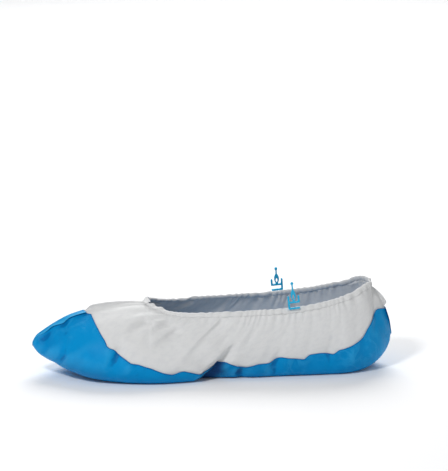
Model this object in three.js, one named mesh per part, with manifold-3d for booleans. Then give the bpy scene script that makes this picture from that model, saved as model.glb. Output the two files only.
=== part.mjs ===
// Disposable shoe cover, standing open on its sole as a shoe inside would hold it.
// It is a bag of cloth folded under the sole and welded up the toe and up the heel.
// A blue coated film wraps the sole, toe and heel, and a white nonwoven upper is welded behind its edge.
// Millimetres, +Z up, toe towards -X, origin on the floor under the middle of the cover.
import * as THREE from 'three';
import { mergeVertices } from 'three/addons/utils/BufferGeometryUtils.js';
import Module from 'manifold-3d';

// Driving dimensions
const WALL = 1.2; // cloth and film
const GAP = 0.3; // clearance between neighbouring pieces
const FILM_GIRTH = 60; // from the fold under the sole to the edge of the film
const CLOTH_GIRTH = 125; // from the fold under the sole to the rim
const LAP_GIRTH = 48; // where the white cloth ends, behind the film
const FIN_HEIGHT = 4.6; // welded seam that stands up along the toe and the heel
const FIN_HALF = 1.3; // half the width of its root
const FILM_FIN_LEAN = THREE.MathUtils.degToRad(88); // on the film the seam lies over towards the near side
const UPPER_FIN_LEAN = THREE.MathUtils.degToRad(12); // on the white cloth it stands up
const RIM = { front: -64, back: 150, near: 35, far: 37, power: 2.6 }; // the opening, seen from above
const BAND = { height: 4.6, thickness: 3.6, swell: 0.12, sides: 6 }; // gathered casing of the elastic
const CLIP = {
  x: 69, // nearest gather along the rim
  shift: 3.8, // from the crest of that gather towards the next
  lift: 7, // of its bar above the middle of the casing
  recline: 0.6, // how much of the cloth's own lean it takes
  half: 4.8, // half the bar, to the middle of each prong
  rib: 1.8,
  thickness: 1.8,
  prong: 5.4,
  arm: { drop: 5.6, length: 9.2 },
  eye: { width: 4.8, length: 12.8 },
  hole: { width: 1.6, length: 5.6, up: 4.8 }, // in the eye, its middle above the bar
  stem: { width: 1.35, length: 4.6 },
  knob: { width: 2.8, length: 0.2 },
};
const COLUMNS = 60; // steps along each side, from the toe seam to the heel seam
const PLEAT_STEPS = 4; // columns in one gather of the rim
const UPPER_DEPTH = WALL + GAP; // of the upper's outer face behind the film's
const SHOULDER_DRAW = 0.12; // how far the shoulder has come from the widest point in to the rim
const FILM_SHARE = 0.62; // most of a cross-section that the film covers away from the seams
const SEAM_STEEPNESS = 1.7; // of the cloth's lines as they leave a seam
const EDGE_REACH = 0.75; // how far a step of the film's edge may go towards the next line of the cloth
const GATHER_MEAN = 0.85; // usual depth of a gather, against the table's
const GATHER_SWINGS = [
  { size: 0.3, turn: 2.4 },
  { size: 0.15, turn: 5.1 },
]; // how it swings from gather to gather
const CALM_COLUMNS = 3; // beside a seam, where gathers and folds set in
const CALM_HEIGHT = { from: 1, to: 8 }; // above the floor, where folds set in

// Cross-sections from toe to heel: height of the fold under the sole, height of the widest point,
// half width on the near (inner) and far (outer) side of the foot, width of the rounded sole edge,
// height of the ridge or rim, and fullness of the shoulder.
const STATIONS = [
  { x: -170, keel: 28, wide: 30, near: 1.2, far: 1.2, edge: 1, top: 32, shoulder: 0.5 },
  { x: -167, keel: 23, wide: 30, near: 4.5, far: 4.5, edge: 4.5, top: 37.5, shoulder: 0.5 },
  { x: -160, keel: 17.5, wide: 29, near: 12, far: 12, edge: 11, top: 43, shoulder: 0.45 },
  { x: -150, keel: 12, wide: 27, near: 23, far: 23, edge: 20, top: 49.5, shoulder: 0.45 },
  { x: -136, keel: 6.2, wide: 25, near: 37, far: 37, edge: 28, top: 57, shoulder: 0.5 },
  { x: -120, keel: 2, wide: 23, near: 48, far: 48, edge: 28, top: 61.5, shoulder: 0.62 },
  { x: -100, keel: 0.2, wide: 21, near: 54.5, far: 54.5, edge: 24, top: 65.5, shoulder: 0.76 },
  { x: -85, keel: 0, wide: 20, near: 57, far: 57, edge: 19, top: 67.5, shoulder: 0.85 },
  { x: -64, keel: 0, wide: 18, near: 58, far: 58.5, edge: 14, top: 67, shoulder: 0.85 },
  { x: -42, keel: 0, wide: 18, near: 56.5, far: 58.5, edge: 12, top: 61, shoulder: 0.6 },
  { x: -8, keel: 0, wide: 20, near: 51, far: 57, edge: 12, top: 59.5, shoulder: 0.5 },
  { x: 28, keel: 0, wide: 22, near: 46, far: 53.5, edge: 12, top: 60, shoulder: 0.5 },
  { x: 65, keel: 0, wide: 23, near: 43, far: 49, edge: 12, top: 61, shoulder: 0.5 },
  { x: 100, keel: 0, wide: 24, near: 42, far: 44.5, edge: 12, top: 65, shoulder: 0.5 },
  { x: 130, keel: 0, wide: 25, near: 39, far: 40, edge: 14, top: 72, shoulder: 0.55 },
  { x: 150, keel: 4, wide: 28, near: 29, far: 29.5, edge: 16, top: 77, shoulder: 0.65 },
  { x: 161, keel: 11, wide: 30, near: 18, far: 18, edge: 14, top: 62, shoulder: 0.65 },
  { x: 167, keel: 19, wide: 31, near: 8, far: 8, edge: 7, top: 46, shoulder: 0.6 },
  { x: 170, keel: 29, wide: 31, near: 1.2, far: 1.2, edge: 1, top: 33, shoulder: 0.5 },
];

// Girth of the film on each side, from the fold under the sole.
const FILM_GIRTHS = [
  { x: -170, near: 60, far: 60 },
  { x: -120, near: 60, far: 60 },
  { x: -100, near: 63, far: 60 },
  { x: -85, near: 67, far: 60 },
  { x: -64, near: 65, far: 60 },
  { x: -42, near: 61, far: 61 },
  { x: -8, near: 55, far: 62 },
  { x: 28, near: 50, far: 62 },
  { x: 65, near: 54, far: 60 },
  { x: 100, near: 58, far: 60 },
  { x: 130, near: 60, far: 60 },
  { x: 170, near: 60, far: 60 },
];

// Where a line of the cloth at a given girth meets the welded seams, and how far it takes to level out.
const SEAMS = [
  { girth: 0, toe: -170, heel: 170, toeReach: 8, heelReach: 8 },
  { girth: 6, toe: -169, heel: 169.5, toeReach: 10, heelReach: 9 },
  { girth: 15, toe: -163, heel: 168.4, toeReach: 20, heelReach: 14 },
  { girth: 28, toe: -151, heel: 166.6, toeReach: 36, heelReach: 24 },
  { girth: 60, toe: -121, heel: 163.5, toeReach: 82, heelReach: 48 },
  { girth: 90, toe: -92, heel: 157.5, toeReach: 110, heelReach: 70 },
  { girth: CLOTH_GIRTH, toe: -64, heel: 150, toeReach: 130, heelReach: 90 },
];

// Lines of the cloth, from the fold under the sole to the rim, with the depth of the gathers there
// and how much of its full height the welded seam has on the film and on the upper.
const ROWS = [
  { girth: 0, gather: 0, filmFin: 0.2, upperFin: 0 },
  { girth: 9, gather: 0, filmFin: 0.6, upperFin: 0 },
  { girth: 18, gather: 0, filmFin: 0.9, upperFin: 0 },
  { girth: 27, gather: 0, filmFin: 1, upperFin: 0 },
  { girth: 36, gather: 0, filmFin: 1, upperFin: 0 },
  { girth: 43, gather: 0, filmFin: 1, upperFin: 0 },
  { girth: LAP_GIRTH, gather: 0, filmFin: 1, upperFin: 0 },
  { girth: 54, gather: 0.2, filmFin: 1, upperFin: 0 },
  { girth: FILM_GIRTH, gather: 0.4, filmFin: 1, upperFin: 0 },
  { girth: 67, gather: 0.7, filmFin: 0, upperFin: 0.7 },
  { girth: 77, gather: 1.1, filmFin: 0, upperFin: 0.8 },
  { girth: 90, gather: 1.6, filmFin: 0, upperFin: 0.7 },
  { girth: 105, gather: 2.1, filmFin: 0, upperFin: 0.6 },
  { girth: 116, gather: 2.2, filmFin: 0, upperFin: 0.4 },
  { girth: CLOTH_GIRTH, gather: 1.5, filmFin: 0, upperFin: 0.2 },
];
const rowOf = (girth) => ROWS.findIndex((row) => row.girth === girth);

// Single folds drawn on the cloth. Each is deepest at its start (x0, g0) and runs out at its end,
// with g the girth. A negative depth is a dent.
const FOLDS = [
  { side: 'near', x0: 2, g0: 44, x1: 34, g1: 98, width: 10, depth: -8 },
  { side: 'near', x0: -18, g0: 56, x1: 12, g1: 98, width: 8, depth: 3.4 },
  { side: 'near', x0: -22, g0: 116, x1: -64, g1: 66, width: 6, depth: -3 },
  { side: 'near', x0: -8, g0: 116, x1: -50, g1: 64, width: 6, depth: -3 },
  { side: 'near', x0: -46, g0: 111, x1: -92, g1: 66, width: 6, depth: -2.4 },
  { side: 'near', x0: 52, g0: 54, x1: 60, g1: 82, width: 6, depth: -2.6 },
  { side: 'near', x0: -96, g0: 61, x1: -84, g1: 38, width: 7, depth: -2.6 },
  { side: 'near', x0: -150, g0: 26, x1: -140, g1: 48, width: 6, depth: -1.4 },
  { side: 'far', x0: 16, g0: 48, x1: 38, g1: 95, width: 11, depth: -5 },
  { side: 'far', x0: -18, g0: 116, x1: -60, g1: 66, width: 7, depth: -3 },
  { side: 'far', x0: -48, g0: 109, x1: -94, g1: 64, width: 6, depth: -2.4 },
  { side: 'far', x0: 82, g0: 54, x1: 98, g1: 92, width: 8, depth: -3 },
  { side: 'far', x0: -146, g0: 26, x1: -134, g1: 48, width: 7, depth: -1.6 },
];

// Steps of the film's edge, each with the x where it starts and how far it climbs there.
const FILM_STEPS = [
  { side: 'near', x: -98, rise: 4 },
  { side: 'near', x: -66, rise: 2 },
  { side: 'near', x: -33, rise: 5 },
  { side: 'near', x: -4, rise: 12 },
  { side: 'near', x: 30, rise: 4 },
  { side: 'near', x: 58, rise: 7 },
  { side: 'near', x: 88, rise: 8 },
  { side: 'near', x: 116, rise: 7 },
  { side: 'near', x: 142, rise: 0 },
  { side: 'far', x: -104, rise: 6 },
  { side: 'far', x: -74, rise: 8 },
  { side: 'far', x: -46, rise: 10 },
  { side: 'far', x: -20, rise: 9 },
  { side: 'far', x: 6, rise: 10 },
  { side: 'far', x: 33, rise: 8 },
  { side: 'far', x: 60, rise: 10 },
  { side: 'far', x: 88, rise: 8 },
  { side: 'far', x: 116, rise: 7 },
  { side: 'far', x: 142, rise: 0 },
];

const SIDES = { near: -1, far: 1 };

// Smooth curves through the columns of a table whose rows are keyed by one of them.
function tableReader(table, key) {
  const names = Object.keys(table[0]).filter((name) => name !== key);
  const values = table.flatMap((row) => names.map((name) => row[name]));
  const curve = new THREE.CubicInterpolant(table.map((row) => row[key]), values, names.length);
  return (at) => {
    const found = curve.evaluate(at);
    return Object.fromEntries(names.map((name, i) => [name, found[i]]));
  };
}
const stationAt = tableReader(STATIONS, 'x');
const filmAt = tableReader(FILM_GIRTHS, 'x');
const seamsAt = tableReader(SEAMS, 'girth');

// Half the width of the opening at x, which is nothing where the bag is closed to a ridge.
function openingHalf(x, side) {
  const middle = (RIM.front + RIM.back) / 2;
  const reach = Math.abs(x - middle) / ((RIM.back - RIM.front) / 2);
  return reach >= 1 ? 0 : RIM[side] * (1 - reach ** RIM.power) ** (1 / RIM.power);
}

// Half cross-section from the fold under the sole, round the sole's edge, to the ridge or rim.
function halfSection(x, side) {
  const station = stationAt(x);
  const wide = station[side];
  const edge = Math.min(station.edge, wide);
  const opening = openingHalf(x, side);
  const shoulderY = wide - (wide - opening) * SHOULDER_DRAW;
  const shoulderZ = THREE.MathUtils.lerp(station.wide, station.top, station.shoulder);
  const path = new THREE.Path();
  path.moveTo(0, station.keel);
  path.lineTo(wide - edge, station.keel);
  path.absellipse(wide - edge, station.wide, edge, station.wide - station.keel, -Math.PI / 2, 0);
  path.quadraticCurveTo(shoulderY, shoulderZ, opening, station.top);
  for (const curve of path.curves) curve.arcLengthDivisions = 24;
  return path;
}

// A line of the cloth leaves a seam steeply and then levels out.
const liftAtSeam = (away) => (away >= 1 ? 0 : (1 - Math.sqrt(Math.max(away, 0))) ** SEAM_STEEPNESS);

// The point of the cloth at a girth above the fold, x along the foot, before any gather or fold.
function clothPoint(x, girth, side, seams) {
  const section = halfSection(x, side);
  const film = Math.min(filmAt(x)[side] / section.getLength(), FILM_SHARE);
  const level =
    girth < FILM_GIRTH
      ? (film * girth) / FILM_GIRTH
      : film + ((1 - film) * (girth - FILM_GIRTH)) / (CLOTH_GIRTH - FILM_GIRTH);
  const toe = liftAtSeam((x - seams.toe) / seams.toeReach);
  const heel = liftAtSeam((seams.heel - x) / seams.heelReach);
  const share = girth === 0 ? 0 : level + (1 - level) * Math.max(toe, heel);
  const { x: y, y: z } = section.getPoint(Math.min(share, 1));
  return new THREE.Vector3(x, SIDES[side] * y, z);
}

// One line of the cloth along one side, as points evenly spaced between the roots of the two seams.
function clothLine(girth, side) {
  const seams = seamsAt(girth);
  const samples = 90;
  const points = Array.from({ length: samples + 1 }, (_, i) => {
    const along = (1 - Math.cos((Math.PI * i) / samples)) / 2;
    return clothPoint(THREE.MathUtils.lerp(seams.toe, seams.heel, along), girth, side, seams);
  });
  const line = new THREE.CatmullRomCurve3(points);
  line.arcLengthDivisions = 600;
  const root = FIN_HALF / line.getLength();
  return Array.from({ length: COLUMNS + 1 }, (_, i) => {
    if (i === 0) return line.getPointAt(0);
    if (i === COLUMNS) return line.getPointAt(1);
    return line.getPointAt(THREE.MathUtils.lerp(root, 1 - root, (i - 1) / (COLUMNS - 2)));
  });
}

// Depth of the table's folds at a point of the cloth.
function foldDepth(x, girth, side) {
  const at = new THREE.Vector3(x, girth, 0);
  const nearest = new THREE.Vector3();
  return FOLDS.filter((fold) => fold.side === side).reduce((sum, fold) => {
    const start = new THREE.Vector3(fold.x0, fold.g0, 0);
    const line = new THREE.Line3(start, new THREE.Vector3(fold.x1, fold.g1, 0));
    const along = line.closestPointToPointParameter(at, true);
    const off = at.distanceTo(line.at(along, nearest)) / fold.width;
    return sum + fold.depth * (1 - along ** 2) * Math.exp(-(off ** 2));
  }, 0);
}

// Gathers under the rim: crest, slope, valley, slope, each gather a little deeper or shallower.
function gatherWave(column) {
  const pleat = Math.floor(column / PLEAT_STEPS);
  const uneven = GATHER_SWINGS.reduce((sum, { size, turn }) => sum + size * Math.sin(turn * pleat), 0);
  return (GATHER_MEAN + uneven) * Math.cos((2 * Math.PI * column) / PLEAT_STEPS);
}

// How far the film's edge stands above or below its straight line. After each step of the table it
// climbs at once and then falls back slowly, as overlapping folds make it.
function filmEdgeWave(x, side) {
  const steps = FILM_STEPS.filter((step) => step.side === side);
  const at = steps.findLastIndex((step) => step.x <= x);
  if (at < 0 || at === steps.length - 1) return 0;
  const share = (x - steps[at].x) / (steps[at + 1].x - steps[at].x);
  return steps[at].rise * (0.5 - share);
}

// Ring of columns: the near side from toe to heel, then the far side from heel to toe.
const RING = 2 * COLUMNS;
const sideOf = (i) => (i <= COLUMNS ? 'near' : 'far');
const columnOf = (i) => (i <= COLUMNS ? i : RING - i);
const atSeam = (i) => columnOf(i) % COLUMNS === 0;

// The cloth as one grid of rows and ring columns, with each point's outward direction and relief.
function clothGrid() {
  const lines = ROWS.map((row) => ({
    near: clothLine(row.girth, 'near'),
    far: clothLine(row.girth, 'far'),
  }));
  const points = lines.map((line) =>
    Array.from({ length: RING }, (_, i) => line[sideOf(i)][columnOf(i)].clone()),
  );
  waveFilmEdge(points);
  return ROWS.map((row, j) =>
    points[j].map((point, i) => ({
      point,
      outward: outwardAt(points, i, j),
      relief: reliefAt(point, row, i),
      seam: atSeam(i),
    })),
  );
}

// Moves the film's edge up and down the cloth.
function waveFilmEdge(points) {
  const edge = rowOf(FILM_GIRTH);
  for (let i = 0; i < RING; i++) {
    const wave = filmEdgeWave(points[edge][i].x, sideOf(i));
    const toward = edge + Math.sign(wave);
    const room = Math.abs(ROWS[toward].girth - FILM_GIRTH);
    points[edge][i].lerp(points[toward][i], Math.min(Math.abs(wave) / Math.max(room, 1), EDGE_REACH));
  }
}

// Outward direction from the neighbouring points; under the sole the neighbour is across the fold.
function outwardAt(points, i, j) {
  const along = points[j][(i + 1) % RING].clone().sub(points[j][(i + RING - 1) % RING]);
  const last = points.length - 1;
  const across = (RING - i) % RING;
  const below = j === 0 ? points[1][across] : points[j - 1][i];
  const up = points[Math.min(j + 1, last)][i].clone().sub(below);
  if (j === 0) {
    const keel = points[0][Math.min(columnOf(i) + 1, COLUMNS)].clone();
    keel.sub(points[0][Math.max(columnOf(i) - 1, 0)]);
    return new THREE.Vector3(keel.z, 0, -keel.x).normalize();
  }
  const outward = along.cross(up).normalize();
  if (atSeam(i)) outward.setY(0).normalize();
  return outward;
}

function reliefAt(point, row, i) {
  const side = sideOf(i);
  const column = columnOf(i);
  if (atSeam(i) || row.girth === 0) return 0;
  const clearOfFloor = THREE.MathUtils.smoothstep(point.z, CALM_HEIGHT.from, CALM_HEIGHT.to);
  const besideSeam = Math.min(column, COLUMNS - column) / CALM_COLUMNS;
  const relief = row.gather * gatherWave(column) + foldDepth(point.x, row.girth, side);
  return relief * clearOfFloor * Math.min(besideSeam, 1);
}

// A point of the grid moved off the cloth's outer face by its relief and a further distance.
function offCloth(node, distance) {
  const moved = node.point.clone().addScaledVector(node.outward, node.relief + distance);
  return moved.setZ(Math.max(moved.z, 0));
}

// Crest of the welded seam, which leans from the outward direction towards the near side.
function finCrest(node, depth, height, lean) {
  const crest = offCloth(node, height * Math.cos(lean) - depth);
  return crest.setY(crest.y - height * Math.sin(lean));
}

// Keeps a panel on its own side of the seam, half a gap from the middle.
function clearOfOtherPanel(point, node, way) {
  if (node.seam) return point.setY(point.y + (way * GAP) / 2);
  return point.setY(way * Math.max(way * point.y, GAP));
}

// Closed wall between two rows of the grid, with the welded seam on its outer face. A panel runs along
// one side only and ends in the middle of each seam, clear of the panel of the other side.
function clothWall(grid, { firstRow, lastRow, depth, fin, lean, panel }) {
  const rows = grid.slice(firstRow, lastRow + 1);
  const start = panel === 'far' ? COLUMNS : 0;
  const steps = panel ? COLUMNS : RING;
  const layer = (place) =>
    rows.map((row, j) =>
      Array.from({ length: steps + 1 }, (_, i) => {
        const node = row[(start + i) % RING];
        const point = place(node, ROWS[firstRow + j]);
        return panel ? clearOfOtherPanel(point, node, SIDES[panel]) : point;
      }),
    );
  const outer = layer((node, row) => finCrest(node, depth, node.seam ? FIN_HEIGHT * row[fin] : 0, lean));
  const inner = layer((node) => offCloth(node, -depth - WALL));
  const last = rows.length - 1;
  const corners = [];
  for (let i = 0; i < steps; i++) {
    for (let j = 0; j < last; j++) {
      const rising = risingDiagonal(rows, (start + i) % RING, (start + i + 1) % RING, j);
      addQuad(corners, outer[j][i], outer[j][i + 1], outer[j + 1][i + 1], outer[j + 1][i], rising);
      addQuad(corners, inner[j][i], inner[j + 1][i], inner[j + 1][i + 1], inner[j][i + 1], rising);
    }
    addQuad(corners, outer[last][i], outer[last][i + 1], inner[last][i + 1], inner[last][i], true);
    if (firstRow > 0) addQuad(corners, outer[0][i], inner[0][i], inner[0][i + 1], outer[0][i + 1], true);
  }
  for (let j = 0; panel && j < last; j++) {
    addQuad(corners, outer[j][0], outer[j + 1][0], inner[j + 1][0], inner[j][0], true);
    addQuad(corners, outer[j][steps], inner[j][steps], inner[j + 1][steps], outer[j + 1][steps], true);
  }
  return closedGeometry(corners);
}

// Whether a cell of the grid is better split from its first to its third corner, the shorter way.
function risingDiagonal(rows, i, next, j) {
  const rising = rows[j][i].point.distanceTo(rows[j + 1][next].point);
  return rising <= rows[j][next].point.distanceTo(rows[j + 1][i].point);
}

function addQuad(corners, a, b, c, d, rising) {
  if (rising) corners.push(a, b, c, a, c, d);
  else corners.push(a, b, d, b, c, d);
}

// Geometry from a list of corners, three to a triangle, without the triangles that have no area.
function closedGeometry(corners) {
  const geometry = mergeVertices(new THREE.BufferGeometry().setFromPoints(corners), 1e-3);
  const kept = [];
  for (let k = 0; k < corners.length; k += 3) {
    const [a, b, c] = [0, 1, 2].map((n) => geometry.index.getX(k + n));
    if (a !== b && b !== c && c !== a) kept.push(a, b, c);
  }
  geometry.setIndex(kept);
  return geometry;
}

// Middle of the casing above the upper's edge, with the directions up the cloth and outwards.
function rimFrame(grid, i) {
  const edge = grid[ROWS.length - 1][i];
  const up = edge.point.clone().sub(grid[ROWS.length - 2][i].point).normalize();
  const middle = offCloth(edge, -UPPER_DEPTH - WALL / 2).addScaledVector(up, GAP + BAND.height / 2);
  return { middle, up, outward: edge.outward };
}

// Casing that holds the elastic, scrunched with the gathers.
function rimBand(grid) {
  const rings = Array.from({ length: RING }, (_, i) => {
    const { middle, up, outward } = rimFrame(grid, i);
    const swell = atSeam(i) ? 1 : 1 + BAND.swell * gatherWave(columnOf(i));
    return Array.from({ length: BAND.sides }, (_, k) => {
      const angle = (2 * Math.PI * (k + 0.5)) / BAND.sides;
      return middle
        .clone()
        .addScaledVector(up, (Math.cos(angle) * BAND.height) / 2)
        .addScaledVector(outward, (swell * Math.sin(angle) * BAND.thickness) / 2);
    });
  });
  const corners = [];
  for (let i = 0; i < RING; i++) {
    const next = (i + 1) % RING;
    for (let k = 0; k < BAND.sides; k++) {
      const after = (k + 1) % BAND.sides;
      addQuad(corners, rings[i][k], rings[i][after], rings[next][after], rings[next][k], true);
    }
  }
  return closedGeometry(corners);
}

// Flat strip of the clip with round ends, from one point to another in the clip's own plane.
function clipStrip(from, to, width) {
  const run = new THREE.Vector2().subVectors(to, from);
  const shape = new THREE.Shape();
  shape.absarc(0, 0, width / 2, Math.PI / 2, (3 * Math.PI) / 2);
  shape.absarc(run.length(), 0, width / 2, -Math.PI / 2, Math.PI / 2);
  const options = { depth: CLIP.thickness, bevelEnabled: false, curveSegments: 4 };
  const strip = new THREE.ExtrudeGeometry(shape, options);
  return strip.rotateZ(run.angle()).translate(from.x, from.y, -CLIP.thickness / 2);
}

// The clip's tongue: a pointed eye with a smaller hole.
function clipEye({ eye: outline, hole }) {
  const lens = ({ width, length, up }) => {
    const shape = new THREE.Shape();
    shape.moveTo(0, up - length / 2);
    shape.quadraticCurveTo(width, up, 0, up + length / 2);
    shape.quadraticCurveTo(-width, up, 0, up - length / 2);
    return shape;
  };
  const eye = lens({ ...outline, up: outline.length / 2 });
  eye.holes.push(lens(hole));
  const options = { depth: CLIP.thickness, bevelEnabled: false, curveSegments: 6 };
  return new THREE.ExtrudeGeometry(eye, options).translate(0, 0, -CLIP.thickness / 2);
}

// Moulded clip that carries the rim: a bar with two prongs, a tongue with a knob, and an arm under the bar.
function clipGeometry() {
  const { half, rib, prong, arm, eye, stem, knob } = CLIP;
  const at = (x, y) => new THREE.Vector2(x, y);
  const stemTop = eye.length + stem.length;
  const pieces = [
    clipStrip(at(-half, 0), at(half, 0), rib),
    clipStrip(at(-half, 0), at(-half, prong), rib),
    clipStrip(at(half, 0), at(half, prong), rib),
    clipStrip(at(-half, 0), at(-half, -arm.drop), rib),
    clipStrip(at(-half, -arm.drop), at(-half + arm.length, -arm.drop), rib),
    clipEye(CLIP),
    clipStrip(at(0, eye.length - stem.width), at(0, stemTop), stem.width),
    clipStrip(at(0, stemTop), at(0, stemTop + knob.length), knob.width),
  ];
  return pieces.map(asSolid).reduce((whole, piece) => whole.add(piece));
}

// Conversions between a closed geometry and a solid that can be joined to others.
function asSolid(geometry) {
  geometry.deleteAttribute('normal');
  geometry.deleteAttribute('uv');
  const merged = mergeVertices(geometry, 1e-3);
  const { array } = merged.getAttribute('position');
  const triVerts = new Uint32Array(merged.index.array);
  return new wasm.Manifold(new wasm.Mesh({ numProp: 3, vertProperties: array, triVerts }));
}
function asGeometry(solid) {
  const { vertProperties, triVerts } = solid.getMesh();
  const geometry = new THREE.BufferGeometry();
  geometry.setAttribute('position', new THREE.BufferAttribute(vertProperties, 3));
  return geometry.setIndex(new THREE.BufferAttribute(triVerts, 1));
}

// Sets a clip against the outer face of the casing, on the crest of a gather and nearly upright.
function placeClip(mesh, grid, side) {
  const crests = Array.from({ length: RING }, (_, i) => i)
    .filter((i) => sideOf(i) === side && columnOf(i) % PLEAT_STEPS === 0 && !atSeam(i));
  const away = (i) => Math.abs(rimFrame(grid, i).middle.x - CLIP.x);
  const crest = crests.reduce((best, i) => (away(i) < away(best) ? i : best));
  const { middle, outward } = rimFrame(grid, crest);
  const along = rimFrame(grid, crest + PLEAT_STEPS).middle.sub(rimFrame(grid, crest - PLEAT_STEPS).middle);
  along.normalize();
  const face = outward.clone().setZ(outward.z * CLIP.recline).normalize();
  const rise = face.clone().cross(along).normalize();
  mesh.quaternion.setFromRotationMatrix(new THREE.Matrix4().makeBasis(rise.clone().cross(face), rise, face));
  mesh.position.copy(middle).addScaledVector(outward, BAND.thickness / 2 + GAP + CLIP.thickness / 2);
  mesh.position.addScaledVector(rise, CLIP.lift).addScaledVector(along, CLIP.shift);
  return mesh;
}

const film = new THREE.MeshStandardMaterial({ color: '#0b8ec6', roughness: 0.42, metalness: 0 });
const cloth = new THREE.MeshStandardMaterial({ color: '#d5d9de', roughness: 0.85, metalness: 0 });
const plastic = new THREE.MeshStandardMaterial({ color: '#1fb4df', roughness: 0.35, metalness: 0 });

function named(name, geometry, material) {
  const mesh = new THREE.Mesh(geometry, material);
  mesh.name = name;
  return mesh;
}

const wasm = await Module();
wasm.setup();
const grid = clothGrid();
const filmRows = { firstRow: 0, lastRow: rowOf(FILM_GIRTH), depth: 0, fin: 'filmFin', lean: FILM_FIN_LEAN };
const upperRows = (panel) => ({
  firstRow: rowOf(LAP_GIRTH),
  lastRow: ROWS.length - 1,
  depth: UPPER_DEPTH,
  fin: 'upperFin',
  lean: UPPER_FIN_LEAN,
  panel,
});
const clip = asGeometry(clipGeometry());
const cover = new THREE.Group();
cover.add(
  named('sole_cover', clothWall(grid, filmRows), film),
  named('upper_near', clothWall(grid, upperRows('near')), cloth),
  named('upper_far', clothWall(grid, upperRows('far')), cloth),
  named('rim_band', rimBand(grid), cloth),
  placeClip(named('clip_near', clip, plastic), grid, 'near'),
  placeClip(named('clip_far', clip, plastic), grid, 'far'),
);
export default cover;
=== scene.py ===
"""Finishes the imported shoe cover: crumpled film and nonwoven, gathered rim, moulded clips, plain stage."""
import functools
import math

import bmesh
import bpy
import numpy as np
from bpy.props import FloatProperty, FloatVectorProperty, PointerProperty
from bpy.types import Operator, Panel, PropertyGroup
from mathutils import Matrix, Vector


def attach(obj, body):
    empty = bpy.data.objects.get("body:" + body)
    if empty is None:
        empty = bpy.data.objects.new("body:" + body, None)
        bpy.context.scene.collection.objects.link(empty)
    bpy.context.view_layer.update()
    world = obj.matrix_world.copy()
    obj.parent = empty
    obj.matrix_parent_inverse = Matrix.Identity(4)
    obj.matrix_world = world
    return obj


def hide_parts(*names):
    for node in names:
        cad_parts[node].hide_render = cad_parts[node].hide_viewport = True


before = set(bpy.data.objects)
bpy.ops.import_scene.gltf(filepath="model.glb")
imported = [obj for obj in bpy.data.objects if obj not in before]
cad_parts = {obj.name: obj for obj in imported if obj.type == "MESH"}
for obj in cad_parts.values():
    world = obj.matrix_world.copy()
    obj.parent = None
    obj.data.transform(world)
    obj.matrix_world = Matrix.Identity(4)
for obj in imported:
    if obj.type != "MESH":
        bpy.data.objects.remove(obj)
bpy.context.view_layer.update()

bl_info = {
    "name": "Shoe cover",
    "version": (1, 0, 0),
    "blender": (4, 5, 0),
    "location": "3D View > Sidebar > Shoe Cover",
    "description": "Builds a disposable shoe cover of film and nonwoven on its packed frame",
    "category": "Object",
}

MM = 0.001
BODY = "root"


class ShoeCoverSizes(PropertyGroup):
    """Sizes of the cover that a user may change."""

    film_wall: FloatProperty(
        name="Film wall", description="Thickness of the blue film", default=0.0005, unit="LENGTH")
    cloth_wall: FloatProperty(
        name="Cloth wall", description="Thickness of the white nonwoven", default=0.0005, unit="LENGTH")
    lap_gap: FloatProperty(
        name="Lap gap", description="Space between the film and the cloth behind it",
        default=0.00015, unit="LENGTH")
    seam_height: FloatProperty(
        name="Seam height", description="How far the welded seams stand out of the cloth",
        default=0.0072, unit="LENGTH")
    sheet_length: FloatProperty(
        name="Sheet length", description="Length of the sheets before they were gathered",
        default=0.36, unit="LENGTH")
    crumple_limit: FloatProperty(
        name="Crumple limit", description="How far a crumple may move the cloth",
        default=0.004, unit="LENGTH")
    gather_pitch: FloatProperty(
        name="Gather pitch", description="Distance between two gathers of the rim",
        default=0.0068, unit="LENGTH")
    casing_height: FloatProperty(
        name="Casing height", description="Height of the casing of the elastic",
        default=0.0056, unit="LENGTH")
    weld_pitch: FloatProperty(
        name="Weld pitch", description="Distance between two weld marks", default=0.0026, unit="LENGTH")


class ShoeCoverColours(PropertyGroup):
    """Colours of the cover and its stage."""

    film: FloatVectorProperty(
        name="Film", description="Blue of the film", default=(0.0004, 0.262, 0.60), subtype="COLOR")
    film_deep: FloatVectorProperty(
        name="Film, deep", description="Blue of the film in its folds",
        default=(0.0004, 0.20, 0.50), subtype="COLOR")
    # Pale blue of stretched creases and random wrinkle lines; on the crests and the seam fins it is partly
    # painted highlight.
    film_stretch_and_highlight: FloatVectorProperty(
        name="Film, pale", description="Blue of the film where a crease has stretched it",
        default=(0.045, 0.39, 0.72), subtype="COLOR")
    # Painted shade: this dark blue is laid over the film's deep dents to stand for the shade that falls in
    # them.
    film_tuck_shade: FloatVectorProperty(
        name="Film, folded", description="Blue of the film where it lies double in a tuck",
        default=(0.01, 0.04, 0.15), subtype="COLOR")
    # Painted shade: this dark blue darkens the hollows of the film's creases and a line along its top edge,
    # where shade falls.
    film_crease_and_edge_shade: FloatVectorProperty(
        name="Film, hem", description="Blue of the film's welded edge",
        default=(0.0004, 0.09, 0.30), subtype="COLOR")
    cloth: FloatVectorProperty(
        name="Cloth", description="White of the nonwoven", default=(0.70, 0.703, 0.70), subtype="COLOR")
    cloth_thin: FloatVectorProperty(
        name="Cloth, thin", description="White of the nonwoven where its fibres lie thin",
        default=(0.63, 0.636, 0.645), subtype="COLOR")
    clip: FloatVectorProperty(
        name="Clip", description="Teal of the moulded clips", default=(0.014, 0.42, 0.70), subtype="COLOR")
    floor: FloatVectorProperty(
        name="Floor", description="Colour of the floor", default=(0.95, 0.95, 0.955), subtype="COLOR")


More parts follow.
